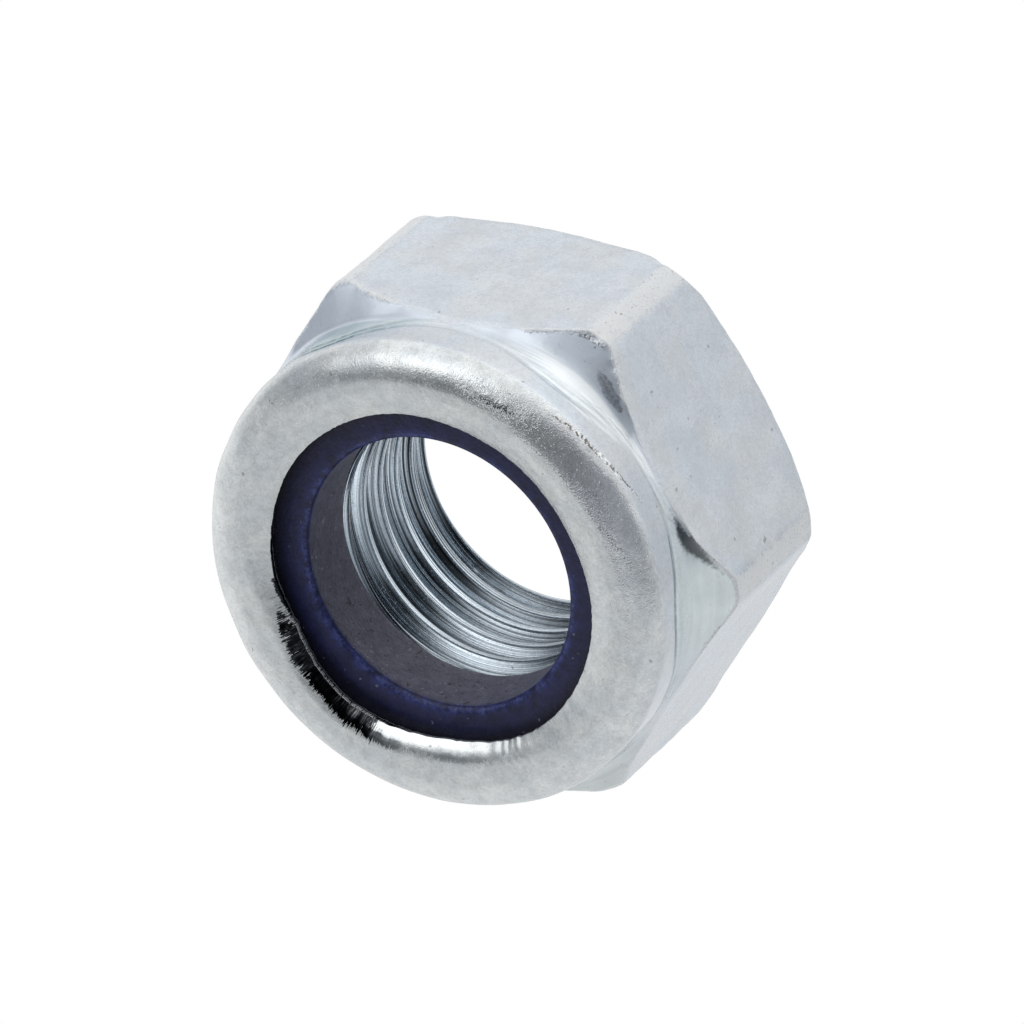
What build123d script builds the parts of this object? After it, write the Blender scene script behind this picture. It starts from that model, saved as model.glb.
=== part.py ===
"""Nylon insert lock nut, M14 x 1.5 fine thread, 22 mm across flats.

Two pieces: a cold-forged steel nut body, whose thin collar is rolled over at the top, and the nylon ring
that the rolled collar holds in its groove. Millimetres, +Z up along the thread axis. The origin is the
middle of the bearing face, and two opposite corners of the hexagon lie on the X axis.
"""

import os
from math import radians, tan

from build123d import *

os.makedirs("parts", exist_ok=True)

# Hexagon
across_flats = 22.0
corner_circle = 24.74  # the forging die leaves the six corners rounded on this circle
total_height = 13.3

# Bearing side: a flat face inside a chamfer that cuts the corners back
bearing_face_diameter = 20.4
bearing_chamfer_angle = 30.0

# Collar side: a steeper cone cuts the corners back, and the plain collar rises out of it
cone_corner_height = 8.2  # where the cone leaves the rounded corners
cone_angle = 50.0
collar_diameter = 21.74

# The top of the collar, rolled inwards over the ring
crown_radius = 1.53
lip_radius = 0.9
lip_opening = 15.58
lip_land = 0.15  # short upright edge of the rolled sheet
lip_bevel = 0.15  # sheared corner under that edge

# Thread: a plain bore at the minor diameter stands for it
thread_diameter = 14.0
thread_pitch = 1.5
minor_diameter = thread_diameter - 1.0825 * thread_pitch
countersink_diameter = 15.1
countersink_angle = 45.0
lead_in = 0.3  # chamfer where the thread comes out into the groove

# Groove for the ring, and the ring itself
groove_floor = 8.74
groove_diameter = 19.7
groove_shoulder_bevel = 0.55
ring_bore = 12.55
ring_top_bevel = 0.25
ring_bottom_bevel = 0.15

corner_radius = corner_circle / 2
bearing_radius = bearing_face_diameter / 2
collar_radius = collar_diameter / 2
opening_radius = lip_opening / 2
minor_radius = minor_diameter / 2
countersink_radius = countersink_diameter / 2
groove_radius = groove_diameter / 2
ring_radius = ring_bore / 2

bearing_chamfer_slope = tan(radians(bearing_chamfer_angle))
cone_slope = tan(radians(cone_angle))
collar_foot_height = cone_corner_height + (corner_radius - collar_radius) * cone_slope
countersink_depth = (countersink_radius - minor_radius) * tan(radians(countersink_angle))
lip_edge_height = total_height - lip_radius - lip_land
groove_roof = lip_edge_height - lip_bevel

# The turned outline runs this far outside the corner circle, so that the hexagon trims it everywhere
outline_radius = corner_radius + 1.0


def corner_near(radius: float, height: float) -> ShapeList[Vertex]:
    """The corner of the section being drawn that is nearest to this radius and height."""
    return vertices().sort_by_distance((radius, height))[:1]


# ------------------------------------------------------------------------------------------------
# Nut body: half of its section turned about the thread axis, then trimmed to the hexagon
# ------------------------------------------------------------------------------------------------
with BuildPart() as nut_body:
    with BuildSketch(Plane.XZ):
        with BuildLine():
            Polyline(
                (countersink_radius, 0),
                (bearing_radius, 0),
                (outline_radius, (outline_radius - bearing_radius) * bearing_chamfer_slope),
                (outline_radius, cone_corner_height - (outline_radius - corner_radius) * cone_slope),
                (collar_radius, collar_foot_height),
                (collar_radius, total_height),
                (opening_radius, total_height),
                (opening_radius, lip_edge_height),
                (opening_radius + lip_bevel, groove_roof),
                (groove_radius, groove_roof),
                (groove_radius, groove_floor),
                (minor_radius + lead_in, groove_floor),
                (minor_radius, groove_floor - lead_in),
                (minor_radius, countersink_depth),
                close=True,
            )
        make_face()
        fillet(corner_near(collar_radius, total_height), crown_radius)
        fillet(corner_near(opening_radius, total_height), lip_radius)
        chamfer(corner_near(groove_radius, groove_roof), groove_shoulder_bevel)
    revolve(axis=Axis.Z)

    with BuildSketch():
        RegularPolygon(across_flats / 2, 6, major_radius=False)
        Circle(corner_radius, mode=Mode.INTERSECT)
    extrude(amount=total_height, mode=Mode.INTERSECT)


# ------------------------------------------------------------------------------------------------
# Nylon ring: fills the groove up to the rolled lip, its bore a little wider than the thread's
# ------------------------------------------------------------------------------------------------
with BuildPart() as nylon_ring:
    with BuildSketch(Plane.XZ):
        with BuildLine():
            Polyline(
                (ring_radius, groove_floor + ring_bottom_bevel),
                (ring_radius + ring_bottom_bevel, groove_floor),
                (groove_radius, groove_floor),
                (groove_radius, groove_roof),
                (ring_radius, groove_roof),
                close=True,
            )
        make_face()
        chamfer(corner_near(groove_radius, groove_roof), groove_shoulder_bevel)
        chamfer(corner_near(ring_radius, groove_roof), ring_top_bevel)
    revolve(axis=Axis.Z)


nut_body.part.label = "nut_body"
nylon_ring.part.label = "nylon_ring"

export_step(nut_body.part, "parts/nut_body.step")
export_step(nylon_ring.part, "parts/nylon_ring.step")
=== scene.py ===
from types import SimpleNamespace

import bpy
import numpy as np
from mathutils import Matrix, Vector


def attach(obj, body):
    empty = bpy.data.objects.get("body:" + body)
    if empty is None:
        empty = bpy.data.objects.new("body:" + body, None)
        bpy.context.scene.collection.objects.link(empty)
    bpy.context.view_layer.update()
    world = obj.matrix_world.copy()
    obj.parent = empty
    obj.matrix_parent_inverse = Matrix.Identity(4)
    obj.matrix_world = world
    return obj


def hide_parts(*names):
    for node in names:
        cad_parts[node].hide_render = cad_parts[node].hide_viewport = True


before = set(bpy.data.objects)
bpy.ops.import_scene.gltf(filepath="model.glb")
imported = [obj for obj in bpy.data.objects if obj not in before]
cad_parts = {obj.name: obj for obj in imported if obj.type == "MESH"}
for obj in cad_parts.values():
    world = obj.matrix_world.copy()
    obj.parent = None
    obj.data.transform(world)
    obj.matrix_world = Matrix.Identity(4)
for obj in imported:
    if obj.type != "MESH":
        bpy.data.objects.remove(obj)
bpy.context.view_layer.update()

# ------------------------------------------------------------------------------------------------
# Nut body. One piece of steel, cold forged to a hexagon with a thin collar, tapped M14 x 1.5 from
# below and bright zinc plated. The collar is rolled in over the nylon ring last, which leaves its
# lip burnished, wrinkled and a little uneven. Sizes are in millimetres, azimuths in degrees.
# ------------------------------------------------------------------------------------------------
half_flats = 11.0
corner_radius = 12.37
corner_blend = 0.11
total_height = 13.3
bearing_radius = 10.2
bearing_slope = np.tan(np.radians(30))
bearing_droop = 0.24  # how much lower the bearing edge runs on the flats than a plain chamfer would
cone_corner_height = 8.2
cone_slope = np.tan(np.radians(50))
collar_radius = 10.87
crown_rounding = 1.53
foot_rounding = 0.7
lip_radius = 7.79
lip_drop = 0.42  # from the top of the collar to where the sheet is cut off
lip_dip = 0.08  # how much lower the lip ends where it is rolled right over
lip_cut = 0.13  # height of the sheared edge
lip_bend = 1.5  # radius of the lip's bend
lip_reach = 1.0  # from the lip's edge out to the middle of its bend
groove_floor = 8.74
groove_roof = 12.1
groove_radius = 9.85

flare_tops = {0: 11.55, 60: 11.2, 120: 11.4, 180: 11.1, 240: 11.05, 300: 11.0}  # corner: height
flare_base = 10.3  # height between corners at which the collar's side ends and its foot begins
flare_width = 16
flare_reach = 0.2  # how far the foot comes out above a corner
corner_band = 27.2  # a corner's worn band starts this far from the middle of the flat
upper_band = 0.16  # half widths of the worn bands along the flats' upper and lower edges and the burr
lower_band = 0.1
burr_band = 0.16

forged_waves = 0.012  # what forging and handling left on the surface: heights, depths and azimuths
rough_edge = 0.007
press_azimuth = -107
press_depth = 0.03
crush_azimuth = -51
crush_height = 0.008
sunken_azimuth = 26
sunken_depth = 0.06

pitch = 1.5
major_radius = 7.0
minor_radius = major_radius - 1.0825 * pitch / 2  # five eighths of the sharp thread's depth
thread_blend = 0.03
countersink_radius = 7.55
countersink_foot = 0.12  # the thread's own grid starts this far up the countersink
lead_in = 0.3
rows_per_pitch = 16

columns = 360
crowding = 0.62


def angles_crowding_to_corners():
    """Column angles u - c sin(6u) / 6 for even steps of u, which lie closest together at the corners."""
    u = np.arange(columns) * 2 * np.pi / columns
    return u - crowding * np.sin(6 * u) / 6


phi = angles_crowding_to_corners()
azimuths = np.degrees(phi)
off_flat = phi % (np.pi / 3) - np.pi / 6  # from the middle of the nearest flat


def softer_min(a, b, blend):
    """The smaller of a and b, its kink rounded: half of a + b less the root of (a - b)^2 + blend^2."""
    return (a + b - np.sqrt((a - b) ** 2 + blend**2)) / 2


def softer_max(a, b, blend):
    """The larger of a and b, its kink rounded in the same way."""
    return -softer_min(-a, -b, blend)


def faded(value, start, end):
    """0 at start, 1 at end, straight between."""
    return np.clip((value - start) / (end - start), 0, 1)


def eased(share):
    """A share from 0 to 1 that starts and stops gently: three times its square less twice its cube."""
    return share * share * (3 - 2 * share)


def bell(distance, width):
    """1 where there is no distance, falling off as exp of minus the square of distance over width."""
    return np.exp(-((distance / width) ** 2))


def swelling(angle, centre, width):
    """A bell round the axis: the distance is the angle's, in degrees, from its centre."""
    return bell((np.degrees(angle) - centre + 180) % 360 - 180, width)


def swollen(value, places):
    """The value with a swelling of each column added: (azimuth, how much at its middle, width)."""
    for azimuth, amount, width in places:
        value = value + amount * swelling(phi, azimuth, width)
    return value


def round_the_rim(start, full, last, end):
    """For each column, 1 from azimuth full to azimuth last, falling to 0 at start and at end."""
    return np.interp(azimuths, [start, full, last, end], [0, 1, 1, 0])


def ripple(angle, numbers, seed):
    """Unevenness round the axis: cosines of these numbers of waves a turn, at random phases, added."""
    numbers = np.asarray(list(numbers))
    phase = np.random.default_rng(seed).uniform(0, 2 * np.pi, len(numbers))
    return np.cos(numbers * angle[..., None] + phase).sum(-1) * np.sqrt(2 / len(numbers))


def unevenness(points, length, seed, count=26):
    """A random surface about 1 high: plane waves of about this length, in random directions, added."""
    rng = np.random.default_rng(seed)
    way = rng.normal(size=(count, 3))
    way *= (rng.uniform(0.6, 1.6, count) * 2 * np.pi / length / np.linalg.norm(way, axis=1))[:, None]
    phase = rng.uniform(0, 2 * np.pi, count)
    total = np.zeros(points.shape[:-1])
    for wave, start in zip(way, phase):
        total += np.cos(points @ wave + start)
    return total * np.sqrt(2 / count)


def rounded_section(corners):
    """Rows of a section with rounded corners: (radius, height, rounding, arc rows, rows to the next).

    An arc touches both sides of its corner and turns evenly between them. It shrinks where a side is too
    short for it. The rows on to the next corner are evenly spaced.
    """
    p = np.stack([np.stack(np.broadcast_arrays(c[0] + 0 * phi, c[1] + 0 * phi), -1) for c in corners])
    back = np.roll(p, 1, 0) - p
    on = np.roll(p, -1, 0) - p
    back_length = np.linalg.norm(back, axis=-1, keepdims=True)
    on_length = np.linalg.norm(on, axis=-1, keepdims=True)
    u = back / back_length
    v = on / on_length
    half = np.arccos(np.clip((u * v).sum(-1, keepdims=True), -1, 1)) / 2
    rounding = np.stack([c[2] + 0 * phi for c in corners])[..., None]
    cut = rounding / np.tan(half)
    room = np.minimum(1, 0.94 * on_length / np.maximum(cut + np.roll(cut, -1, 0), 1e-6))
    cut = cut * np.minimum(room, np.roll(room, 1, 0))
    middle = p + (u + v) / np.linalg.norm(u + v, axis=-1, keepdims=True) * cut / np.cos(half)
    start = p + u * cut
    end = p + v * cut
    rows = []
    for i, (_, _, _, arc, straight) in enumerate(corners):
        turn = np.pi - 2 * half[i]
        for t in np.linspace(0, 1, arc):
            from_start = np.sin((1 - t) * turn) * (start[i] - middle[i])
            from_end = np.sin(t * turn) * (end[i] - middle[i])
            rows.append(middle[i] + (from_start + from_end) / np.sin(turn))
        if i < len(corners) - 1:
            for t in np.arange(1, straight + 1) / (straight + 1):
                rows.append(end[i] * (1 - t) + start[i + 1] * t)
    return np.stack(rows)


def thread_radius(angle, height):
    """The tapped surface, from the distance to the nearest root, which climbs one pitch a turn.

    The root is flat for an eighth of the pitch at the major radius and the crest for a quarter of it at
    the minor radius. The flanks between them slope at 60 degrees.
    """
    climb = height / pitch - angle / (2 * np.pi)
    from_root = np.abs((climb + 0.5) % 1 - 0.5) * pitch
    flank = major_radius - (from_root - pitch / 16) * np.sqrt(3)
    return softer_max(softer_min(flank, major_radius, thread_blend), minor_radius, thread_blend)


def bore_radius(angle, height):
    """The thread, opened out by the 45 degree countersink and by the lead-in where it meets the groove."""
    countersink = countersink_radius - height
    top = minor_radius + height - (groove_floor - lead_in)
    return softer_max(softer_max(thread_radius(angle, height), countersink, 0.05), top, 0.03)


def turned(rows):
    """Points from rows of (radius, height): radius times its angle's cosine and sine, and the height."""
    return np.stack([rows[..., 0] * np.cos(phi), rows[..., 0] * np.sin(phi), rows[..., 1]], -1)


def normals_of(grid):
    """Outward normals of a grid round the axis: the cross product of its slopes along columns and rows."""
    along = np.roll(grid, -1, 1) - np.roll(grid, 1, 1)
    across = np.gradient(grid, axis=0)
    normal = np.cross(along, across)
    return normal / np.maximum(np.linalg.norm(normal, axis=-1, keepdims=True), 1e-9)


def closed_skin(name, grids):
    """One mesh from grids of points that close round the axis, and which of the points it keeps.

    The last column meets the first one slip rows further on. Points that coincide become one, and faces
    that this closes up are dropped.
    """
    points, quads, start = [], [], 0
    for grid, slip in grids:
        rows, cols = grid.shape[:2]
        number = start + np.arange(rows * cols).reshape(rows, cols)
        j, i = np.meshgrid(np.arange(rows - 1), np.arange(cols), indexing="ij")
        step = np.where(i == cols - 1, slip, 0)
        low = np.clip(j + step, 0, rows - 1)
        high = np.clip(j + 1 + step, 0, rows - 1)
        beside = (i + 1) % cols
        around = [number[j, i], number[low, beside], number[high, beside], number[j + 1, i]]
        quads.append(np.stack(around, -1))
        points.append(grid.reshape(-1, 3))
        start += rows * cols
    points = np.concatenate(points)
    _, first, same = np.unique(np.round(points, 5), axis=0, return_index=True, return_inverse=True)
    quads = same.reshape(-1)[np.concatenate(quads).reshape(-1, 4)]
    repeats = quads == np.roll(quads, -1, 1)
    whole = quads[repeats.sum(1) == 0]
    three = quads[repeats.sum(1) == 1]
    three = three[~repeats[repeats.sum(1) == 1]].reshape(-1, 3)
    mesh = bpy.data.meshes.new(name)
    mesh.from_pydata((points[first] * 0.001).tolist(), [], whole.tolist() + three.tolist())
    mesh.shade_smooth()
    piece = bpy.data.objects.new(name, mesh)
    bpy.context.scene.collection.objects.link(piece)
    return piece, first


# The hexagon. Two corners and a spot beside a third are filled out further by the forging.
fuller_corners = [(0, 0.2, 4.5), (180, 0.14, 4.5), (-125, 0.1, 4)]
higher_edges = [(press_azimuth, 0.3, 7), (3, 0.42, 9), (180, 0.45, 12)]
hexagon = softer_min(half_flats / np.cos(off_flat), corner_radius, corner_blend)
hexagon = swollen(hexagon, fuller_corners)
bearing_edge = (hexagon - bearing_radius) * bearing_slope
bearing_edge = bearing_edge - bearing_droop * faded(corner_radius - hexagon, 0, 0.4)
cone_height = swollen(cone_corner_height + (corner_radius - hexagon) * cone_slope, higher_edges)
mid_flat = eased(faded(np.abs(np.degrees(off_flat)), 17, 6))
upper_rounding = swollen(0.13 + 1.5 * mid_flat, [(180, 0.8, 9), (0, 0.6, 7)])

# The collar's foot. Above each corner it flares out on to the cone, in an arc.
at_corner = sum(swelling(phi, azimuth, flare_width) for azimuth in flare_tops)
flare = flare_base + sum(
    (top - flare_base) * swelling(phi, azimuth, flare_width) for azimuth, top in flare_tops.items()
)
foot_radius = collar_radius + np.minimum(flare_reach * at_corner, 0.35 * (hexagon - collar_radius))
foot_height = cone_corner_height + (corner_radius - foot_radius) * cone_slope
foot_room = (hexagon - foot_radius) / np.cos(np.arctan(cone_slope))
foot_blend = np.minimum(swollen(foot_rounding, [(-62, 1.7, 14), (180, 1, 14)]), 1.2 * foot_room)

# The lip: gentle waves, wrinkles where the sheet is rolled right over, and nicks from the shears.
rolled = round_the_rim(64, 82, 178, 202)
wrinkles = 0.006 + 0.012 * rolled * (1 - swelling(phi, 182, 22))
nicks = 0.006 + 0.007 * swelling(phi, 178, 20)
lip = lip_radius + 0.02 * ripple(phi, range(2, 9), 3) + wrinkles * ripple(phi, range(25, 70, 3), 4)
lip = lip + nicks * ripple(phi, range(80, 170, 7), 8)
lip = swollen(lip, [(45, -0.19, 45), (88, -0.24, 12), (117, 0.08, 9), (157, -0.28, 20)])
lip_edge = total_height - lip_drop - lip_dip * rolled
lip_shoulder = lip + lip_reach - 0.58 * rolled  # the middle of the bend
lip_rounding = lip_bend - 0.3 * rolled

body_section = [  # from the countersink out, up and in over the collar, and down the groove to the bore
    (bore_radius(phi, countersink_foot), countersink_foot, 0, 1, 1),
    (countersink_radius, 0, 0.1, 3, 6),
    (bearing_radius, 0, 0.35, 4, 5),
    (hexagon, bearing_edge, 0.22, 5, 26),
    (hexagon, cone_height - 0.4 * mid_flat, upper_rounding, 5, 9),
    (foot_radius, foot_height + 0.35 * mid_flat, foot_blend + 1.5 * mid_flat, 7, 10),
    (collar_radius, flare, 0.5, 4, 22),
    (collar_radius, total_height, crown_rounding, 22, 4),
    (lip_shoulder, total_height, lip_rounding, 18, 1),
    (lip, lip_edge, 0.06, 4, 2),
    (lip, lip_edge - lip_cut, 0.06, 3, 2),
    (lip + 0.35, groove_roof, 0.02, 2, 2),
    (groove_radius, groove_roof, 0.5, 3, 1),
    (groove_radius, groove_floor, 0.1, 2, 2),
    (bore_radius(phi, groove_floor), groove_floor, 0, 1, 0),
]
skin = turned(rounded_section(body_section))
skin_radius = np.hypot(skin[..., 0], skin[..., 1])
skin_height = skin[..., 2].copy()

# The parts of the skin, told apart by radius and height
on_side = (skin_radius > 10.95) & (skin_height > 0.05) & (skin_height < 10.2)
on_wall = (skin_radius > 10.8) & (skin_height > 10.1) & (skin_height < 11.95)
on_crown = (skin_radius > 9.2) & (skin_height > 11.5)
above_flats = (skin_height > cone_height + 0.02) & (skin_radius < hexagon - 0.06)
on_cone = on_side & above_flats
sheared = (skin_radius < lip + 0.03) & (skin_height > 12.4) & (skin_height < lip_edge + 0.02)

# Edge: how far a point lies inside a worn band, in mm. The bands run up each corner, along the flats' upper
# and lower edges, and on the torn part of the sheared edge.
into_corner = (np.abs(np.degrees(off_flat)) - corner_band) * np.pi / 180 * corner_radius
over_top = upper_band - np.hypot(skin_radius - hexagon, skin_height - cone_height) - 2 * mid_flat
under_foot = lower_band - np.hypot(skin_radius - hexagon, skin_height - bearing_edge)
torn_line = round_the_rim(76, 86, 127, 134)
edge = np.where(on_side & (np.abs(skin_radius - hexagon) < 0.03), into_corner, -1)
edge = np.maximum(edge, np.where(on_side, np.maximum(over_top, under_foot), -1))
edge = np.where(sheared, 1.01 * torn_line - 1, edge)

creases = [  # folds across the flare: azimuth, depth, width, and how far above the start of the flare
    (0, 0.045, 0.07, 0.02),
    (0, 0.03, 0.07, -0.33),
    (240, 0.035, 0.06, 0.02),
    (240, 0.015, 0.05, -0.25),
    (300, 0.02, 0.05, 0.0),
    (300, 0.02, 0.06, -0.3),
    (300, 0.018, 0.05, -0.5),
    (180, 0.02, 0.06, 0.0),
    (120, 0.02, 0.07, 0.0),
    (60, 0.015, 0.06, 0.0),
]
dents = [  # azimuth, radius, height, width, depth
    (-4.7, 12.15, 1.25, 0.22, 0.09),
    (-56.7, 12.2, 1.25, 0.2, 0.08),
    (-44, 11.33, 4.1, 0.18, 0.05),
    (-59.5, 12.3, 8.2, 0.16, 0.06),
    (-62.5, 12.2, 7.4, 0.2, 0.05),
    (-66, 11.9, 8.65, 0.15, 0.06),
    (-118, 12.35, 6.8, 0.2, 0.05),
    (-122, 12.35, 3.4, 0.24, 0.06),
    (-149.5, 9.8, 13.2, 0.2, 0.05),
    (2, 12.35, 5.2, 0.22, 0.05),
    (-20, 11.2, 7.9, 0.25, 0.03),
    (-80, 11.05, 4.6, 0.3, 0.03),
    (61, 12.35, 4.4, 0.25, 0.06),
    (118, 12.35, 6.1, 0.22, 0.06),
    (177, 12.35, 2.6, 0.24, 0.06),
    (95, 11.04, 5.5, 0.3, 0.03),
]

# Push: how far each point of the skin moves out along its normal. Waves over the outside and roughness on
# the worn edges come first, then the pressed crease, the creases and dents, the crushed spot, and a shallow
# hollow in the top of the collar. It dies away before both ends, which meet the bore.
push = forged_waves * unevenness(skin, 3.2, 11) * faded(skin_radius, 9.6, 10.2) * (skin_height > 0.3)
push = push + rough_edge * unevenness(skin, 0.7, 12) * faded(edge, -0.15, 0.1)
pressed_width = 0.1 + 0.13 * swelling(phi, press_azimuth, 6)
pressed = swelling(phi, press_azimuth, 8) * bell(skin_height - cone_height - 0.17, pressed_width)
pressed = pressed * (skin_radius > 10.8)
push = push - press_depth * pressed
for azimuth, deep, width, above in creases:
    fold = bell(skin_height - flare - above, width) * swelling(phi, azimuth, 17)
    push = push - deep * fold * on_wall
for azimuth, radius, level, width, deep in dents:
    spot = np.array([radius * np.cos(np.radians(azimuth)), radius * np.sin(np.radians(azimuth)), level])
    push = push - deep * np.exp(-((skin - spot) ** 2).sum(-1) / width**2)
crushed = swelling(phi, crush_azimuth, 8.5) * bell(skin_radius - 10.07, 0.33) * on_crown
push = push + crush_height * crushed * unevenness(skin, 0.8, 13)
sloping = eased(faded(skin_radius, 8.5, 9.7) * faded(skin_radius, 10.5, 9.8))
push = push - sunken_depth * swelling(phi, sunken_azimuth, 34) * sloping * (skin_height > 12.9)
row = np.arange(len(skin))
ending = faded(row, 3, 5) * faded(row, len(skin) - 12, len(skin) - 14)
skin = skin + normals_of(skin) * (push * ending[:, None])[..., None]

# The tapped bore, its grid following the turns of the thread. One turn is torn at a spot.
tapped_rows = int(np.ceil((groove_floor - countersink_foot) / pitch * rows_per_pitch)) + rows_per_pitch + 1
bore_height = groove_floor - np.arange(tapped_rows)[:, None] * pitch / rows_per_pitch
bore_height = np.clip(bore_height + pitch * phi / (2 * np.pi), countersink_foot, groove_floor)
torn = swelling(phi, 118, 11) * bell(bore_height - 2.22 - 0.0042 * (azimuths - 118), 0.13)
bore_surface = bore_radius(phi, bore_height) - 0.14 * torn * (1 + 0.5 * ripple(phi, range(30, 70, 3), 6))
bore = turned(np.stack([bore_surface, bore_height], -1))

body, kept = closed_skin("nut_body_skin", [(skin, 0), (bore, -rows_per_pitch)])


def mark(piece, name, values):
    """Stores one number for each point of the piece, for its material to read."""
    piece.data.attributes.new(name, "FLOAT", "POINT").data.foreach_set("value", values.astype(np.float32))


def mark_body(name, on_skin, in_bore):
    """Marks the body's kept points, from numbers over the skin's grid and over the bore's."""
    on_skin = np.broadcast_to(on_skin, skin.shape[:2])
    in_bore = np.broadcast_to(in_bore, bore.shape[:2])
    mark(body, name, np.concatenate([on_skin.ravel(), in_bore.ravel()])[kept])


# A rough, white burr where the collar's side turns over into its top
burr_height = np.interp(azimuths, [262, 270, 277, 285, 292], [11.95, 12.08, 12.25, 12.42, 12.56])
off_burr = np.abs(skin_height - burr_height) + np.interp(azimuths, [260, 270, 287, 298], [2, 0, 0, 2])
edge = np.maximum(edge, np.where(skin_radius > 10.2, burr_band - off_burr, -1))
mark_body("edge", np.clip(edge, -1, 1), -1)

# The burnished part of the lip: mm inside its border, how much of a mirror it is, and where a black
# reflection is painted on it, with painted shade on its sheared edge
polish_border = [  # azimuth, radius
    (60, 7.3), (72, 7.45), (79, 7.82), (84, 8.0), (88, 8.14), (98, 8.3), (112, 8.45),
    (120, 8.6), (131, 8.6), (137, 8.5), (142, 8.25), (148, 8.22), (152, 8.4), (160, 8.46),
    (170, 8.38), (180, 8.27), (190, 8.12), (200, 7.8), (212, 7.4),
]
polished_to = np.interp(azimuths, *np.transpose(polish_border), left=7.4, right=7.4)
polish = np.where(skin_height > 12.3, np.clip(polished_to - skin_radius, -2, 2), -2)
polish = polish - 0.5 * swelling(phi, 86, 9) * bell(skin_radius - lip, 0.2)
polish = np.where(sheared, 0.5 - 0.52 * torn_line, polish)
mirror = np.interp(azimuths, [134, 142, 166, 182, 205, 235], [1, 0.76, 0.68, 0.36, 0.25, 1])
dulled = np.interp(polish, [0, 0.3, 0.46], [0.5, 0.55, 1])  # duller towards the border
mirror = mirror * dulled ** np.interp(azimuths, [128, 140], [0, 1])
# Painted reflection: the rolled lip's burnished band is coloured black, and its sheared edge gets painted
# shade
blackened = round_the_rim(72, 80, 127, 132) * (polish > -0.5)
painted_cut_shade = sheared * (1 - torn_line) * np.interp(azimuths, [132, 140, 180, 200], [1, 0, 0, 1])
mark_body("polish", polish, -2)
mark_body("mirror", mirror, 1)
mark_body("blackened", np.maximum(blackened, painted_cut_shade), 0)

# Tints of the plating, and painted light: lighter greys on two stretches of the collar's top
below_fold = above_flats & (skin_radius > 10.8) & (skin_height < flare)
mark_body("top", skin_height > 12, 0)
mark_body("cone", on_cone, 0)
mark_body("wall", on_wall, 0)
mark_body("crown", on_crown * faded(skin_height, 13.3, 13.275) * (1 - on_wall), 0)
mark_body("pale", below_fold * swelling(phi, -120, 22), 0)
mark_body("olive", below_fold * swelling(phi, 180, 22), 0)
# Painted light: a paler grey on one side of the collar's top, standing in for a brighter reflection there
mark_body("frosted", swelling(phi, 72, 30) * on_crown * faded(skin_radius, 8.4, 9.0), 0)
# Painted light: a lighter grey on the collar's rounding above one flat, lifting its dark reflection
lavender = swelling(phi, -86, 20) * on_crown * faded(skin_radius, 9.3, 9.8) * faded(skin_height, 12.1, 12.4)
mark_body("lavender", lavender, 0)

# Folds round the foot of the collar, where shade is painted along them, and the strip on it above one
# corner where a highlight is painted
fold_shares = [(0, 1.15), (240, 0.75), (300, 0.25), (180, 0.4), (120, 0.3), (60, 0.3)]
folded = sum(share * swelling(phi, azimuth, 19) for azimuth, share in fold_shares)
foot_low = np.interp(azimuths, [268, 272, 285, 301, 310, 322, 340], [9.9, 9.84, 9.8, 9.62, 9.4, 9.4, 9.8])
foot_top = [9.9, 10.3, 10.54, 11.25, 11.04, 10.5, 10.3]
foot_high = np.interp(azimuths, [266, 273, 280, 291, 304, 316, 340], foot_top)
foot = faded(skin_height, foot_low - 0.08, foot_low + 0.12)
foot = foot * faded(skin_height, foot_high + 0.1, foot_high - 0.15)
foot = foot * np.interp(azimuths, [262, 272, 302, 316, 342], [0, 1, 1, 0.6, 0])
mark_body("folded", folded * (skin_height > 10) * (skin_height < 11.9), 0)
mark_body("above_fold", np.clip(skin_height - flare, -1, 1), 1)
mark_body("foot", foot * (skin_radius > 10.8) * (skin_height > 8.5), 0)

# Wear and damage: a scrape and a chipped burr on one cone, a pressed crease on the next, chips and grit
# along the collar's rounding, and its crushed spot. The scrape's grey is partly a painted dark reflection,
# and the crease gets painted shade.
scrape_line = over_top + 0.52 + 0.07 * (azimuths - 291.5)
chip_line = np.interp(azimuths, [267, 276, 284, 290, 297], [11.4, 11.9, 12.11, 12.22, 12.43])
chipped = swelling(phi, -77, 14) * bell(skin_height - chip_line, 0.1) * (skin_radius > 10.2)
burred = swelling(phi, -58.5, 3.6) * bell(over_top + 0.13, 0.1) * on_cone
grit_radius = np.interp(azimuths, [258, 264, 270, 281], [10.19, 9.9, 9.57, 9.45])
gritty = bell(skin_radius - grit_radius, 0.12) * on_crown * round_the_rim(250, 258, 298, 307)
mark_body("scraped", swelling(phi, -69, 4.7) * bell(scrape_line, 0.28) * on_cone, 0)
mark_body("pressed", pressed, 0)
mark_body("crushed", crushed, 0)
mark_body("chipped", np.maximum(chipped, 0.8 * burred), 0)
mark_body("gritty", gritty, 0)

# The bore: all of it, its roots, where shade is painted, the stretch that is scored evenly, and the torn
# spot
mark_body("tapped", 0, 1)
mark_body("root", 0, faded(bore_surface, 6.5, 6.95) * (bore_height > 0.6))
mark_body("even", 0, round_the_rim(105, 128, 165, 200))
mark_body("torn", 0, torn)


def node(tree, kind, values=None, **settings):
    """Adds a shader node, sets it up, and puts a value or a link on each named input."""
    made = tree.nodes.new(kind)
    for name, value in settings.items():
        setattr(made, name, value)
    for name, value in (values or {}).items():
        if isinstance(value, bpy.types.NodeSocket):
            tree.links.new(value, made.inputs[name])
        else:
            made.inputs[name].default_value = value
    return made


def maths(tree, operation, *values):
    """The result of one arithmetic step on numbers or sockets."""
    return node(tree, "ShaderNodeMath", dict(enumerate(values)), operation=operation).outputs[0]


def times(tree, first, second):
    """The product of two numbers."""
    return maths(tree, "MULTIPLY", first, second)


def larger(tree, first, second):
    """The larger of two numbers."""
    return maths(tree, "MAXIMUM", first, second)


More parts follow.
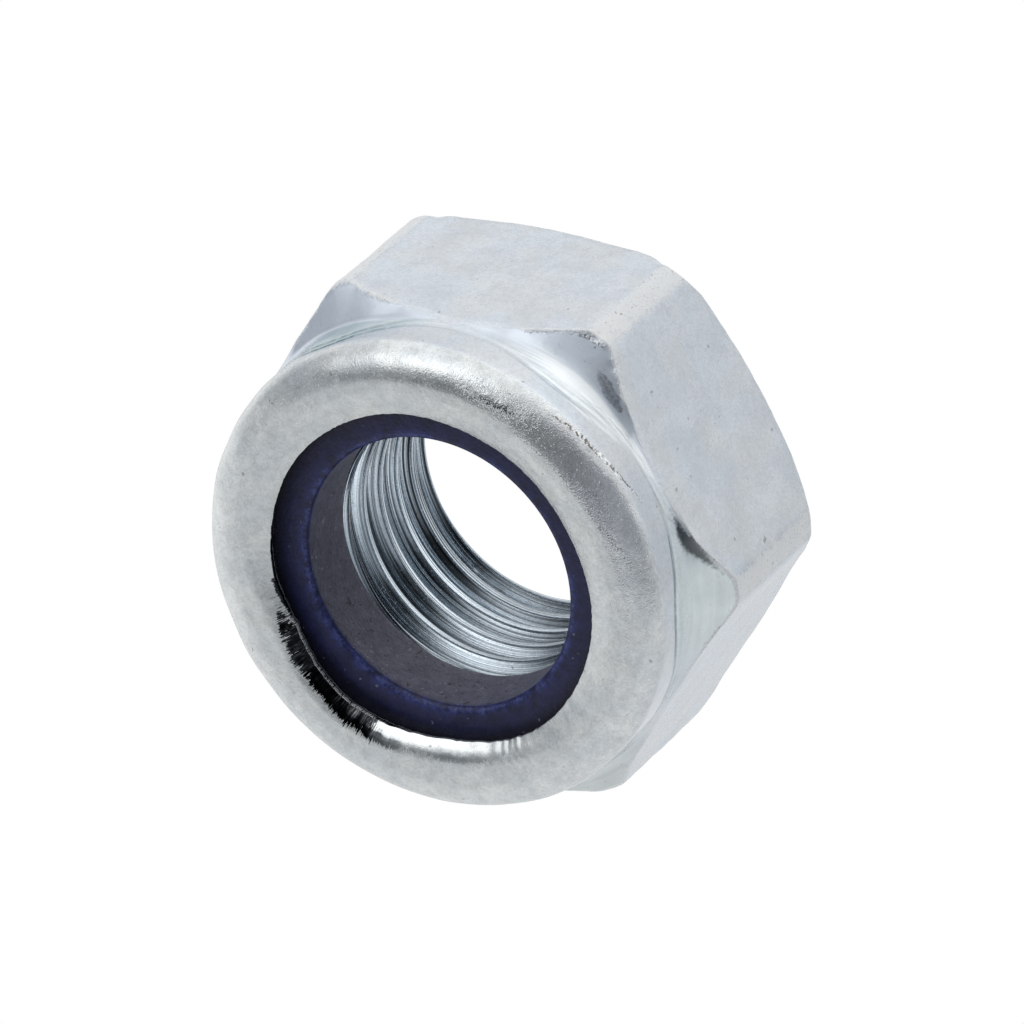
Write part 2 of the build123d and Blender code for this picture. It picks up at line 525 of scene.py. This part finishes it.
def vector(tree, operation, *values):
    """The result of one arithmetic step on vectors."""
    return node(tree, "ShaderNodeVectorMath", dict(enumerate(values)), operation=operation).outputs[0]


def between(tree, value, low, high, to_low=0.0, to_high=1.0):
    """A smooth step: to_low below low, to_high above high."""
    values = {0: value, 1: low, 2: high, 3: to_low, 4: to_high}
    return node(tree, "ShaderNodeMapRange", values, interpolation_type="SMOOTHSTEP").outputs[0]


def mixed(tree, share, first, second, blend_type="MIX"):
    """Two colours mixed in this share."""
    values = {0: share, 6: first, 7: second}
    return node(tree, "ShaderNodeMix", values, data_type="RGBA", blend_type=blend_type).outputs[2]


def multiplied(tree, first, second):
    """Two colours multiplied, channel by channel."""
    return mixed(tree, 1.0, first, second, "MULTIPLY")


def mix_numbers(tree, share, first, second):
    """Two numbers mixed in this share."""
    return node(tree, "ShaderNodeMix", {0: share, 2: first, 3: second}, data_type="FLOAT").outputs[0]


def grain(tree, place, scale, detail, roughness=0.5):
    """Noise with this many cells to the millimetre."""
    values = {"Vector": place, "Scale": scale, "Detail": detail, "Roughness": roughness}
    return node(tree, "ShaderNodeTexNoise", values).outputs["Fac"]


def disturbed(tree, value, noise, amount):
    """The value plus this amount times the noise less a half."""
    return maths(tree, "MULTIPLY_ADD", maths(tree, "SUBTRACT", noise, 0.5), amount, value)


def grey(level):
    """A colour with the same red, green and blue."""
    return (level, level, level, 1.0)


def mottled(tree, noise, low, high, dark, light):
    """A colour that goes from dark to light as the noise goes from low to high."""
    return mixed(tree, between(tree, noise, low, high), dark, light)


def millimetres(tree):
    """The place on the object, in millimetres."""
    return vector(tree, "MULTIPLY", node(tree, "ShaderNodeTexCoord").outputs["Object"], (1000, 1000, 1000))


def round_the_axis(tree, place, across, up):
    """A place for noise that changes with the azimuth, up the axis, and not with the radius.

    It is the outward direction times across, with the height times up.
    """
    outward = vector(tree, "NORMALIZE", vector(tree, "MULTIPLY", place, (1, 1, 0)))
    height = times(tree, node(tree, "ShaderNodeSeparateXYZ", {0: place}).outputs["Z"], up)
    level = node(tree, "ShaderNodeCombineXYZ", {2: height}).outputs[0]
    return vector(tree, "ADD", vector(tree, "MULTIPLY", outward, (across, across, 0)), level)


def along_the_thread(tree, place):
    """A place for noise that follows the turns: once round a circle each pitch, and slowly up the bore."""
    x, y, z = node(tree, "ShaderNodeSeparateXYZ", {0: place}).outputs
    turn = maths(tree, "SUBTRACT", times(tree, z, 2 * np.pi / pitch), maths(tree, "ARCTAN2", y, x))
    circle = {0: maths(tree, "COSINE", turn), 1: maths(tree, "SINE", turn), 2: times(tree, z, 0.12)}
    return node(tree, "ShaderNodeCombineXYZ", circle).outputs[0]


def new_finish(name, values=None):
    """A new material of one Principled shader with these values, as (material, node tree, shader)."""
    material = bpy.data.materials.new(name)
    material.use_nodes = True
    tree = material.node_tree
    tree.nodes.clear()
    shader = node(tree, "ShaderNodeBsdfPrincipled", values)
    tree.links.new(shader.outputs[0], node(tree, "ShaderNodeOutputMaterial").inputs[0])
    return material, tree, shader


def marks_of(tree, piece):
    """The piece's marks, by name, for its material to read."""
    names = [attribute.name for attribute in piece.data.attributes if attribute.data_type == "FLOAT"]
    read = {name: node(tree, "ShaderNodeAttribute", attribute_name=name).outputs["Fac"] for name in names}
    return SimpleNamespace(**read)


# Colours of the plating: tints, wear and dirt, and folds and torn flakes
painted_paler_grey = (0.74, 0.765, 0.77, 1)
painted_light_grey = (0.7, 0.715, 0.765, 1)
cone_grey = (0.56, 0.61, 0.685, 1)
bore_grey = (0.58, 0.655, 0.72, 1)
worn_white = (0.74, 0.745, 0.745, 1)
painted_crease_shade = (0.06, 0.066, 0.072, 1)
scrape_grey_with_painted_reflection = (0.3, 0.31, 0.33, 1)
dirt_brown = (0.16, 0.15, 0.14, 1)
flash_white = (0.85, 0.86, 0.86, 1)
grit_black = (0.13, 0.135, 0.14, 1)
grit_white = (0.86, 0.87, 0.87, 1)
flare_green = (0.43, 0.56, 0.59, 1)
painted_foot_highlight = (0.76, 0.8, 0.825, 1)
painted_fold_shade = (0.1, 0.18, 0.2, 1)
flake_black = (0.03, 0.04, 0.05, 1)
flake_white = (0.75, 0.8, 0.83, 1)


def zinc_grains(tree, place):
    """The noises of the plating, by name.

    From finest to dots they are even. Strokes and hairs lie in planes through the axis, and rings go
    round it. Lines and scores follow the thread.
    """
    strokes_at = round_the_axis(tree, place, 48, 0.8)
    rings_at = round_the_axis(tree, place, 1.5, 3.5)
    lines_at = along_the_thread(tree, place)
    return SimpleNamespace(
        finest=grain(tree, place, 16.0, 1.0),
        fine=grain(tree, place, 7.0, 3.0, 0.65),
        coarse=grain(tree, place, 2.6, 4.0, 0.6),
        patches=grain(tree, place, 1.3, 5.0, 0.72),
        broad=grain(tree, place, 0.7, 3.0, 0.6),
        tint=grain(tree, place, 0.4, 2.0),
        dots=grain(tree, place, 2.4, 2.0),
        strokes=grain(tree, strokes_at, 1.0, 3.0, 0.6),
        hairs=grain(tree, strokes_at, 3.7, 3.0, 0.6),
        rings=grain(tree, rings_at, 1.0, 3.0, 0.6),
        lines=grain(tree, lines_at, 2.0, 4.0, 0.7),
        scores=grain(tree, lines_at, 4.3, 3.0, 0.6),
    )


def zinc_wear(tree, on, grains):
    """Shares of wear with ragged borders: each is a smooth step of its mark plus noise.

    Worn is white and rough. Burnished is a mirror: the lip inside its border of strokes, the scrape, the
    pressed crease and the crushed spot.
    """
    worn = disturbed(tree, disturbed(tree, on.edge, grains.coarse, 0.5), grains.fine, 0.4)
    border = disturbed(tree, on.polish, grains.strokes, 0.2)
    longer = between(tree, grains.coarse, 0.35, 0.65, 0.4, 1.7)
    hairy = times(tree, maths(tree, "SUBTRACT", grains.hairs, 0.5), longer)
    border = maths(tree, "ADD", hairy, border)
    scrape = between(tree, disturbed(tree, on.scraped, grains.coarse, 0.9), 0.25, 0.5)
    press = disturbed(tree, disturbed(tree, on.pressed, grains.coarse, 0.5), grains.fine, 0.9)
    press = between(tree, press, 0.08, 0.8)
    crush = disturbed(tree, disturbed(tree, on.crushed, grains.fine, 1.2), grains.finest, 2.2)
    burnished = times(tree, between(tree, border, 0.0, 0.06), on.mirror)
    burnished = larger(tree, burnished, times(tree, scrape, 0.6))
    burnished = larger(tree, burnished, times(tree, press, 0.8))
    burnished = larger(tree, burnished, between(tree, crush, 0.45, 0.75, 0.0, 0.8))
    worn = between(tree, worn, -0.06, 0.2)
    return SimpleNamespace(worn=worn, scrape=scrape, press=press, burnished=burnished)


def clean_zinc(tree, on, grains):
    """The colour of sound plating: a tint for each part of the body, with painted light on two stretches of
    the collar's top, times its grain.
    """
    colour = mottled(tree, grains.tint, 0.35, 0.65, (0.555, 0.603, 0.657, 1), (0.582, 0.61, 0.64, 1))
    top = mottled(tree, grains.broad, 0.35, 0.65, (0.6, 0.635, 0.655, 1), (0.63, 0.65, 0.65, 1))
    pale = mottled(tree, grains.rings, 0.35, 0.65, (0.62, 0.68, 0.69, 1), (0.69, 0.755, 0.765, 1))
    olive = mottled(tree, grains.rings, 0.35, 0.65, (0.52, 0.56, 0.56, 1), (0.59, 0.635, 0.635, 1))
    colour = mixed(tree, on.top, colour, top)
    colour = mixed(tree, times(tree, on.frosted, 0.6), colour, painted_paler_grey)
    # Painted light on two stretches of the collar's top
    colour = mixed(tree, times(tree, on.lavender, 0.8), colour, painted_light_grey)
    colour = mixed(tree, on.cone, colour, cone_grey)
    colour = mixed(tree, on.pale, colour, pale)
    colour = mixed(tree, on.olive, colour, olive)
    colour = mixed(tree, on.tapped, colour, bore_grey)
    colour = multiplied(tree, colour, mottled(tree, grains.broad, 0.3, 0.7, grey(0.96), grey(1.04)))
    grainy = mottled(tree, grains.coarse, 0.3, 0.7, grey(0.965), grey(1.03))
    grainy = multiplied(tree, grainy, mottled(tree, grains.fine, 0.35, 0.65, grey(0.93), grey(1.06)))
    speckles = mottled(tree, grains.finest, 0.3, 0.7, grey(0.93), grey(1.06))
    blotches = mottled(tree, grains.patches, 0.35, 0.65, grey(0.92), grey(1.04))
    on_top = mixed(tree, on.top, grey(1.0), multiplied(tree, speckles, blotches))
    grainy = multiplied(tree, grainy, on_top)
    return mixed(tree, maths(tree, "SUBTRACT", 1.0, on.cone), colour, multiplied(tree, colour, grainy))


def worn_zinc(tree, colour, on, grains, wear):
    """The colour with wear mixed in: white edges, a painted black reflection on the lip and painted shade
    on its cut edge, painted shade in the pressed crease, the scrape's grey, partly a painted dark
    reflection, dirt and grit.
    """
    colour = mixed(tree, times(tree, wear.worn, 0.7), colour, worn_white)
    # Painted reflection and shade: near black where the lip is burnished and on its sheared edge
    black = between(tree, disturbed(tree, on.blackened, grains.hairs, 1.6), 0.4, 0.6)
    black_reflection_colour = mottled(tree, grains.hairs, 0.5, 0.68, (0.015, 0.016, 0.018, 1), (0.13, 0.135, 0.14, 1))
    colour = mixed(tree, times(tree, black, wear.burnished), colour, black_reflection_colour)
    # Painted shade in the pressed crease
    colour = mixed(tree, times(tree, wear.press, 0.88), colour, painted_crease_shade)
    # The scrape's darker grey is partly scratches and partly a painted dark reflection
    scratched = times(tree, wear.scrape, between(tree, grains.fine, 0.38, 0.6, 0.6, 0.0))
    colour = mixed(tree, scratched, colour, scrape_grey_with_painted_reflection)
    on_chips = between(tree, on.chipped, 0.15, 0.45)
    chips = times(tree, between(tree, grains.fine, 0.5, 0.56), on_chips)
    flashes = times(tree, between(tree, grains.fine, 0.42, 0.46, 1.0, 0.0), on_chips)
    specks = times(tree, wear.worn, between(tree, grains.fine, 0.6, 0.68))
    pits = between(tree, grains.dots, 0.72, 0.76)
    dirt = larger(tree, times(tree, pits, 0.55), larger(tree, times(tree, specks, 0.5), chips))
    colour = mixed(tree, dirt, colour, dirt_brown)
    colour = mixed(tree, flashes, colour, flash_white)
    grit = between(tree, on.gritty, 0.1, 0.8)
    dark_grit = times(tree, grit, between(tree, grains.finest, 0.53, 0.6, 0.0, 0.7))
    light_grit = times(tree, grit, between(tree, grains.finest, 0.4, 0.47, 0.6, 0.0))
    colour = mixed(tree, dark_grit, colour, grit_black)
    return mixed(tree, light_grit, colour, grit_white)


def folded_zinc(tree, colour, on, grains):
    """The colour with the folds above the corners.

    They are dark lines of painted shade at two heights, grey-green below the first, with a painted
    highlight in bright rings on one foot.
    """
    starts = mix_numbers(tree, on.pale, 0.06, 0.01)
    ends = mix_numbers(tree, on.pale, 0.2, 0.1)
    first_fold = between(tree, maths(tree, "ABSOLUTE", on.above_fold), starts, ends, 1.0, 0.0)
    second_at = maths(tree, "ABSOLUTE", maths(tree, "ADD", on.above_fold, 0.38))
    second_fold = between(tree, second_at, 0.04, 0.2, 0.8, 0.0)
    second_fold = times(tree, second_fold, between(tree, on.pale, 0.1, 0.6, 1.0, 0.2))
    fold = times(tree, larger(tree, first_fold, second_fold), on.folded)
    fold = times(tree, fold, between(tree, grains.coarse, 0.3, 0.55, 0.4, 1.0))
    flared = times(tree, between(tree, on.above_fold, -0.02, 0.04, 0.55, 0.0), on.folded)
    flared = times(tree, flared, maths(tree, "SUBTRACT", 1.0, on.pale))
    # Painted highlight: white rings on the foot above one corner
    bright = times(tree, maths(tree, "SUBTRACT", grains.rings, 0.5), 3.2)
    bright = maths(tree, "MULTIPLY_ADD", on.foot, 0.6, bright)
    bright = times(tree, between(tree, bright, 0.3, 0.75, 0.25, 1.0), between(tree, on.foot, 0.1, 0.9))
    colour = mixed(tree, flared, colour, flare_green)
    colour = mixed(tree, bright, colour, painted_foot_highlight)
    # Painted shade along the folds
    return mixed(tree, times(tree, fold, 0.95), colour, painted_fold_shade)


def scored_zinc(tree, colour, on, grains):
    """The colour times the thread's turned lines and painted shade in its roots, with the flakes of its
    torn spot.
    """
    dark_line = mixed(tree, on.even, grey(0.34), grey(0.6))
    light_line = mixed(tree, on.even, grey(1.15), grey(0.9))
    dark_score = mixed(tree, on.even, grey(0.18), grey(0.5))
    scored = mottled(tree, grains.lines, 0.4, 0.56, dark_line, light_line)
    scored = multiplied(tree, scored, mottled(tree, grains.scores, 0.38, 0.5, dark_score, grey(1.1)))
    # Painted shade: the thread's roots are darkened
    scored = multiplied(tree, scored, mottled(tree, on.root, 0.55, 1.0, grey(1.0), grey(0.45)))
    colour = mixed(tree, on.tapped, colour, multiplied(tree, colour, scored))
    flake = disturbed(tree, on.torn, grains.fine, 1.2)
    colour = mixed(tree, between(tree, flake, 0.25, 0.35), colour, flake_black)
    return mixed(tree, between(tree, flake, 0.45, 0.55), colour, flake_white)


def zinc_relief(tree, on, grains, wear):
    """The height of the small relief: a sum of noises for each part of the body and each kind of wear."""
    satin = maths(tree, "ADD", times(tree, grains.fine, 0.3), times(tree, grains.coarse, 0.7))
    brushed = maths(tree, "ADD", times(tree, grains.strokes, 0.3), times(tree, satin, 0.5))
    peened = maths(tree, "ADD", times(tree, grains.fine, 0.3), times(tree, grains.finest, 0.6))
    peened = maths(tree, "MULTIPLY_ADD", grains.strokes, 0.25, peened)
    scored = maths(tree, "ADD", grains.lines, times(tree, grains.scores, 0.5))
    height = mix_numbers(tree, on.wall, satin, brushed)
    height = mix_numbers(tree, on.crown, height, peened)
    height = maths(tree, "MULTIPLY_ADD", on.crushed, times(tree, grains.fine, 3.0), height)
    height = mix_numbers(tree, on.cone, height, times(tree, grains.coarse, 0.3))
    height = mix_numbers(tree, on.tapped, height, scored)
    height = mix_numbers(tree, wear.worn, height, times(tree, grains.fine, 1.6))
    return mix_numbers(tree, wear.burnished, height, times(tree, grains.strokes, 0.2))


def zinc():
    """Bright zinc on forged steel.

    Satin and grainy on the flats and the top of the collar, glossier on the collar's side and rounding and
    on the corner cones, some of which have a tint of their own. Whiter, rougher and speckled in ragged
    bands along the edges. A mirror where the lip is burnished, with a black reflection painted on part of
    it. Turned lines on the thread. Painted shade in the pressed crease, along the folds, in the thread's
    roots and on the lip's cut edge; a painted dark reflection on the scrape; a painted highlight on one
    foot; painted light on two stretches of the collar's top.
    """
    material, tree, shader = new_finish("zinc_plate")
    on = marks_of(tree, body)
    grains = zinc_grains(tree, millimetres(tree))
    wear = zinc_wear(tree, on, grains)

    colour = clean_zinc(tree, on, grains)
    colour = worn_zinc(tree, colour, on, grains, wear)
    colour = folded_zinc(tree, colour, on, grains)
    colour = scored_zinc(tree, colour, on, grains)
    tree.links.new(colour, shader.inputs["Base Color"])

    glossy = larger(tree, larger(tree, on.wall, on.crown), on.cone)
    rough = between(tree, grains.broad, 0.3, 0.7, 0.24, 0.3)
    rough = mix_numbers(tree, glossy, rough, 0.13)
    rough = mix_numbers(tree, wear.worn, rough, 0.5)
    rough = mix_numbers(tree, on.tapped, rough, mix_numbers(tree, on.even, 0.12, 0.26))
    rough = mix_numbers(tree, wear.burnished, rough, 0.07)
    tree.links.new(rough, shader.inputs["Roughness"])

    bare = larger(tree, wear.burnished, on.tapped)
    plated = mix_numbers(tree, wear.worn, mix_numbers(tree, on.crown, 0.45, 0.64), 0.25)
    tree.links.new(mix_numbers(tree, bare, plated, 1.0), shader.inputs["Metallic"])

    relief = zinc_relief(tree, on, grains, wear)
    bump = node(tree, "ShaderNodeBump", {"Height": relief, "Strength": 0.6, "Distance": 0.00004})
    tree.links.new(bump.outputs[0], shader.inputs["Normal"])
    return material


body.data.materials.append(zinc())
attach(body, "root")
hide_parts("nut_body")

# ------------------------------------------------------------------------------------------------
# Locking ring. Dark blue nylon, moulded, pressed into the collar's groove and held by the rolled lip.
# Its bore is a little wider than the thread's crests, with a rounded upper rim.
# ------------------------------------------------------------------------------------------------
ring_bore = 6.277
bore_steps = 21
ring_section = [  # from the foot of the bore out, up the groove's wall and in again to the rim
    (ring_bore, groove_floor, 0.15, 3, 12),
    (groove_radius, groove_floor, 0.1, 3, 4),
    (groove_radius, groove_roof, 0.5, 4, 14),
    (ring_bore, groove_roof, 0.32, 8, 0),
]
ring_rows = turned(rounded_section(ring_section))
down = np.linspace(0, 1, bore_steps + 1)[1:, None, None]
ring_rows = np.concatenate([ring_rows, ring_rows[-1:] * (1 - down) + ring_rows[:1] * down])
ring, kept_ring = closed_skin("nylon_ring_skin", [(ring_rows, 0)])

# The rounded rim, the ring's shaded outer part under the lip, and the bore
ring_radius = np.hypot(ring_rows[..., 0], ring_rows[..., 1]).reshape(-1)[kept_ring]
ring_height = ring_rows[..., 2].reshape(-1)[kept_ring]
mark(ring, "rim", bell(ring_radius - 6.42, 0.28) * bell(ring_height - 12.05, 0.25))
mark(ring, "sunk", faded(ring_radius, 7.25, 7.75) * 0.8)
mark(ring, "bore", (ring_radius < 6.3) * 1.0)


# Colours of the nylon
rim_cobalt = (0.03, 0.045, 0.2, 1)
painted_lip_shade_black = (0.001, 0.001, 0.003, 1)
scuff_blue = (0.13, 0.15, 0.28, 1)
fleck_blue = (0.2, 0.22, 0.33, 1)
bore_dirt = (0.01, 0.01, 0.02, 1)
dark_pit = (0.012, 0.012, 0.02, 1)
pale_pit = (0.3, 0.3, 0.36, 1)


def nylon():
    """Dark blue moulded nylon.

    Navy with pale specks, cobalt where light comes through the thin rim, painted shade near black under the
    lip, and a scuffed, greyish bore with dark and pale pits.
    """
    material, tree, shader = new_finish("blue_nylon", {"IOR": 1.53, "Specular IOR Level": 0.3})
    on = marks_of(tree, ring)
    place = millimetres(tree)
    fine = grain(tree, place, 7.0, 3.0, 0.6)
    coarse = grain(tree, place, 1.6, 4.0, 0.65)

    colour = mottled(tree, coarse, 0.3, 0.7, (0.007, 0.009, 0.042, 1), (0.014, 0.016, 0.074, 1))
    scuffed = mottled(tree, coarse, 0.35, 0.65, (0.055, 0.056, 0.094, 1), (0.092, 0.092, 0.14, 1))
    colour = mixed(tree, on.bore, colour, scuffed)
    speckled = maths(tree, "MULTIPLY_ADD", coarse, 0.7, times(tree, fine, 0.5))
    speckled = times(tree, on.rim, between(tree, speckled, 0.52, 0.72, 0.0, 0.8))
    colour = mixed(tree, speckled, colour, rim_cobalt)
    # Painted shade: near black on the ring's outer part under the lip
    colour = mixed(tree, on.sunk, colour, painted_lip_shade_black)
    scuffs = between(tree, times(tree, on.rim, fine), 0.36, 0.56)
    scuffs = times(tree, scuffs, between(tree, coarse, 0.45, 0.62, 0.0, 0.24))
    colour = mixed(tree, scuffs, colour, scuff_blue)
    flecks = between(tree, grain(tree, place, 3.4, 2.0), 0.71, 0.76)
    colour = mixed(tree, times(tree, flecks, 0.5), colour, fleck_blue)
    dirt = times(tree, on.bore, between(tree, grain(tree, place, 2.1, 3.0, 0.7), 0.64, 0.7))
    colour = mixed(tree, times(tree, dirt, 0.7), colour, bore_dirt)
    dark_pits = between(tree, grain(tree, place, 4.2, 1.5), 0.66, 0.69, 0.0, 0.8)
    colour = mixed(tree, times(tree, on.bore, dark_pits), colour, dark_pit)
    pale_pits = between(tree, grain(tree, place, 4.6, 1.5), 0.69, 0.72, 0.0, 0.5)
    colour = mixed(tree, times(tree, on.bore, pale_pits), colour, pale_pit)
    tree.links.new(colour, shader.inputs["Base Color"])
    tree.links.new(between(tree, fine, 0.3, 0.7, 0.4, 0.55), shader.inputs["Roughness"])

    relief = maths(tree, "ADD", fine, times(tree, coarse, 1.5))
    bump = node(tree, "ShaderNodeBump", {"Height": relief, "Strength": 0.5, "Distance": 0.00004})
    tree.links.new(bump.outputs[0], shader.inputs["Normal"])
    return material


ring.data.materials.append(nylon())
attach(ring, "root")
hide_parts("nylon_ring")

# ------------------------------------------------------------------------------------------------
# Studio. A white floor inside a soft white tent, whose front opening is dark and whose right-hand
# wall carries the brightest lamp. Lengths are in metres.
# ------------------------------------------------------------------------------------------------
floor_reach = 2
floor_corners = [(x * floor_reach, y * floor_reach, 0) for x, y in [(-1, -1), (1, -1), (1, 1), (-1, 1)]]
floor_mesh = bpy.data.meshes.new("floor")
floor_mesh.from_pydata(floor_corners, [], [(0, 1, 2, 3)])
floor = bpy.data.objects.new("floor", floor_mesh)
bpy.context.scene.collection.objects.link(floor)
paper = bpy.data.materials.new("white_paper")
paper.use_nodes = True
paper.node_tree.nodes.clear()
white = node(paper.node_tree, "ShaderNodeEmission", {"Color": grey(1.0), "Strength": 1.0})
paper.node_tree.links.new(white.outputs[0], node(paper.node_tree, "ShaderNodeOutputMaterial").inputs[0])
floor.data.materials.append(paper)
floor.visible_glossy = False

camera_azimuth = -73.25
brightest = 2.4
tent = {  # elevation: azimuths from the camera's, and how bright the tent is there
    -52: [
        (-180, 0.9), (-120, 0.9), (-60, 0.75), (-33, 0.95), (0, 1.2), (30, 1.5),
        (60, 1.3), (88, 1.0), (120, 0.75), (150, 0.7), (180, 0.9),
    ],
    -38: [
        (-180, 0.85), (-60, 0.8), (-30, 1.3), (0, 1.45), (27, 1.9),
        (55, 1.45), (81, 1.5), (108, 1.05), (135, 1.15), (180, 0.85),
    ],
    -22: [
        (-180, 0.95), (-80, 0.9), (-50, 0.6), (-30, 1.1), (0, 1.0), (25, 1.8),
        (50, 1.3), (75, 1.6), (95, 0.9), (115, 0.6), (135, 1.1), (180, 0.95),
    ],
    -5: [
        (-180, 0.95), (-80, 0.95), (-62, 0.7), (-48, 0.25), (-12, 0.3), (0, 1.0), (24, 1.3),
        (48, 1.4), (71, 1.5), (90, 1.0), (108, 0.35), (132, 0.36), (142, 1.15), (180, 0.95),
    ],
    15: [
        (-180, 0.95), (-100, 1.1), (-74, 0.98), (-48, 0.26), (-8, 0.2), (8, 0.3), (22, 0.85), (36, 1.1),
        (46, 1.9), (72, 2.1), (94, 1.5), (108, 0.5), (130, 0.4), (145, 1.2), (180, 0.95),
    ],
    35: [
        (-180, 1.0), (-125, 0.95), (-80, 0.8), (-51, 0.35), (-26, 0.3), (-12, 0.04),
        (14, 0.03), (24, 0.5), (36, 0.8), (44, 2.2), (74, 2.5), (88, 1.8),
        (100, 1.5), (112, 0.35), (130, 0.26), (147, 0.6), (160, 1.0), (180, 1.0),
    ],
    54: [
        (-180, 1.0), (-98, 0.9), (-59, 0.48), (-30, 0.35), (-14, 0.05), (28, 0.05), (44, 0.6),
        (58, 1.6), (85, 1.5), (105, 0.7), (125, 0.25), (150, 0.35), (165, 0.95), (180, 1.0),
    ],
    62: [
        (-180, 0.45), (-172, 0.95), (-120, 0.95), (-80, 0.84), (-50, 0.35), (-25, 0.02), (50, 0.05),
        (70, 0.2), (100, 0.3), (120, 0.1), (150, 0.02), (173, 0.02), (180, 0.45),
    ],
    80: [(-180, 0.05), (-140, 0.1), (-110, 0.4), (-70, 0.35), (-40, 0.02), (180, 0.02)],
}

world = bpy.data.worlds.new("tent")
bpy.context.scene.world = world
world.use_nodes = True
sky = world.node_tree
sky.nodes.clear()
way = node(sky, "ShaderNodeSeparateXYZ", {0: node(sky, "ShaderNodeTexCoord").outputs["Generated"]}).outputs
facing = maths(sky, "SUBTRACT", maths(sky, "ARCTAN2", way[1], way[0]), np.radians(camera_azimuth))
facing = maths(sky, "WRAP", facing, np.pi, -np.pi)
facing = maths(sky, "ADD", maths(sky, "DIVIDE", facing, 2 * np.pi), 0.5)


def wall(stops):
    """The tent's light round one elevation: straight between its stops, and colder where it is dim."""
    ramp = node(sky, "ShaderNodeValToRGB", {0: facing})
    for k, (azimuth, level) in enumerate(stops):
        spot = ramp.color_ramp.elements[k] if k < 2 else ramp.color_ramp.elements.new(1.0)
        spot.position = (azimuth + 180) / 360
        cold = 0.12 * max(0, 1 - level)
        share = level / brightest
        spot.color = (share * (1 - cold), share, share * (1 + cold), 1.0)
    return ramp.outputs[0]


elevations = list(tent)
light = wall(tent[elevations[0]])
for below, elevation in zip(elevations, elevations[1:]):
    step = between(sky, way[2], np.sin(np.radians(below)), np.sin(np.radians(elevation)))
    light = mixed(sky, step, light, wall(tent[elevation]))
lit = node(sky, "ShaderNodeBackground", {"Color": light, "Strength": brightest})
plain = node(sky, "ShaderNodeBackground", {"Color": grey(1.0), "Strength": 1.0})
by_camera = node(sky, "ShaderNodeLightPath").outputs["Is Camera Ray"]
seen = node(sky, "ShaderNodeMixShader", {0: by_camera, 1: lit.outputs[0], 2: plain.outputs[0]})
sky.links.new(seen.outputs[0], node(sky, "ShaderNodeOutputWorld").inputs[0])

# Camera: half a metre away through a long lens, looking down 51.6 degrees, and rolled on its own axis
camera_elevation = 51.6
camera_roll = -131.8
camera_distance = 0.53317
camera_aim = Vector((0.000124, -0.000977, 0.00665))
camera_data = bpy.data.cameras.new("camera")
camera_data.sensor_width = 36
camera_data.lens = 438.16
camera = bpy.data.objects.new("camera", camera_data)
heading = Matrix.Rotation(np.radians(camera_azimuth + 90), 4, "Z")
tilt = Matrix.Rotation(np.radians(90 - camera_elevation), 4, "X")
roll = Matrix.Rotation(np.radians(camera_roll), 4, "Z")
away = Matrix.Translation((0, 0, camera_distance))
camera.matrix_world = Matrix.Translation(camera_aim) @ heading @ tilt @ away @ roll
bpy.context.scene.collection.objects.link(camera)
bpy.context.scene.camera = camera
bpy.context.scene.view_settings.view_transform = "Standard"
